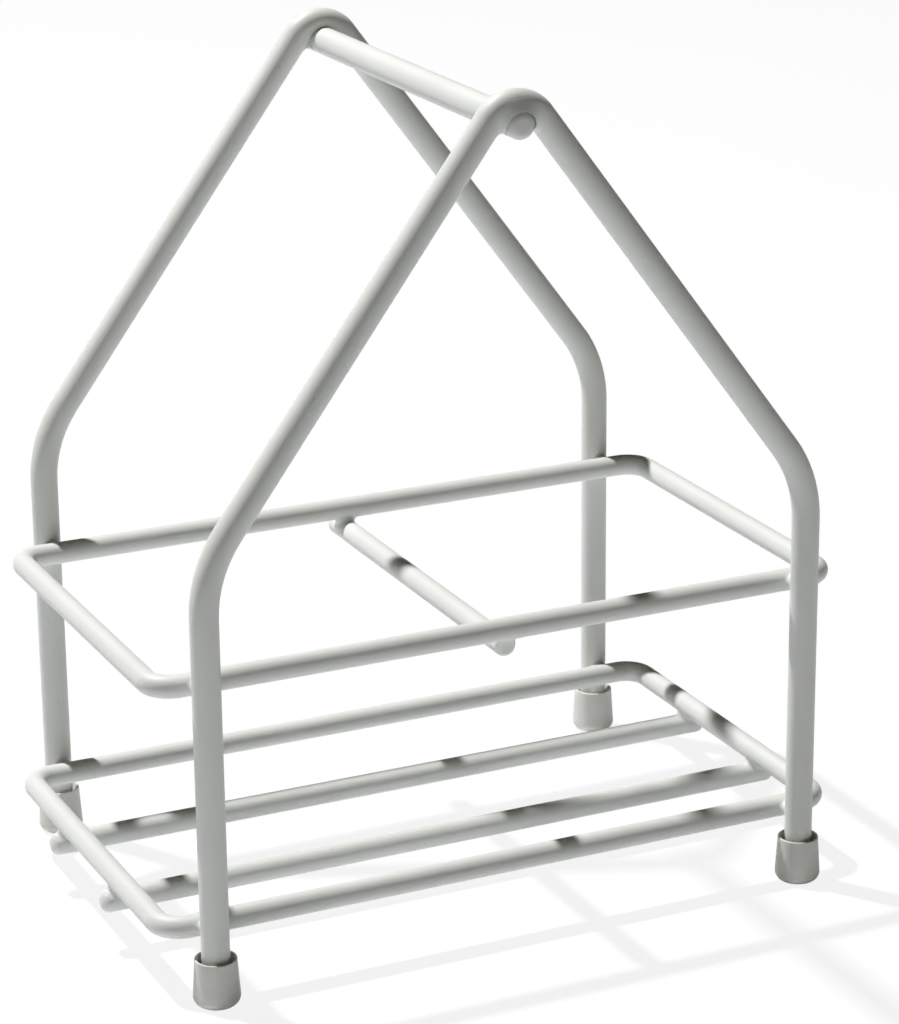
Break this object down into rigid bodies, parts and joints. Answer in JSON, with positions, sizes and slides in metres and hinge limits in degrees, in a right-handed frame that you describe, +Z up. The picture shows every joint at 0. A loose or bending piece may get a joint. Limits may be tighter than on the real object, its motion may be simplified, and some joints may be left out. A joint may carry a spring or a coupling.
{
  "type": "urine bottle carrier",
  "caption": "Free-standing carrier of bent and welded white-coated round bar, with ring-guarded cells for urine bottles, a top carrying bar and grey rubber feet.",
  "frame": {"origin": "on the floor, midway between the four feet", "axes": "+X along the rings towards the right-hand end, +Y from the front frame to the rear frame, +Z up"},
  "size_m": [0.2828, 0.1882, 0.3196],
  "materials": {
    "coated_frame": "satin white nylon coating, fluid-bed dipped over 10 mm steel bar",
    "coated_ring": "satin white nylon coating, fluid-bed dipped over 8 mm steel bar",
    "coated_weld": "small weld bead under the same satin white nylon coating",
    "foot_rubber": "moulded grey rubber, matt"
  },
  "bodies": {
    "root": {"front_frame": "coated_frame", "rear_frame": "coated_frame", "handle_bar": "coated_frame", "upper_ring": "coated_ring", "lower_ring": "coated_ring", "divider_bar": "coated_ring", "front_base_bar": "coated_ring", "rear_base_bar": "coated_ring", "foot_front_left": "foot_rubber", "foot_front_right": "foot_rubber", "foot_rear_left": "foot_rubber", "foot_rear_right": "foot_rubber", "weld_handle_front": "coated_weld", "weld_handle_rear": "coated_weld", "weld_upper_front_left": "coated_weld", "weld_upper_front_right": "coated_weld", "weld_upper_rear_left": "coated_weld", "weld_upper_rear_right": "coated_weld", "weld_lower_front_left": "coated_weld", "weld_lower_front_right": "coated_weld", "weld_lower_rear_left": "coated_weld", "weld_lower_rear_right": "coated_weld", "weld_divider_front": "coated_weld", "weld_divider_rear": "coated_weld", "weld_base_front_left": "coated_weld", "weld_base_front_right": "coated_weld", "weld_base_rear_left": "coated_weld", "weld_base_rear_right": "coated_weld"}
  },
  "joints": []
}
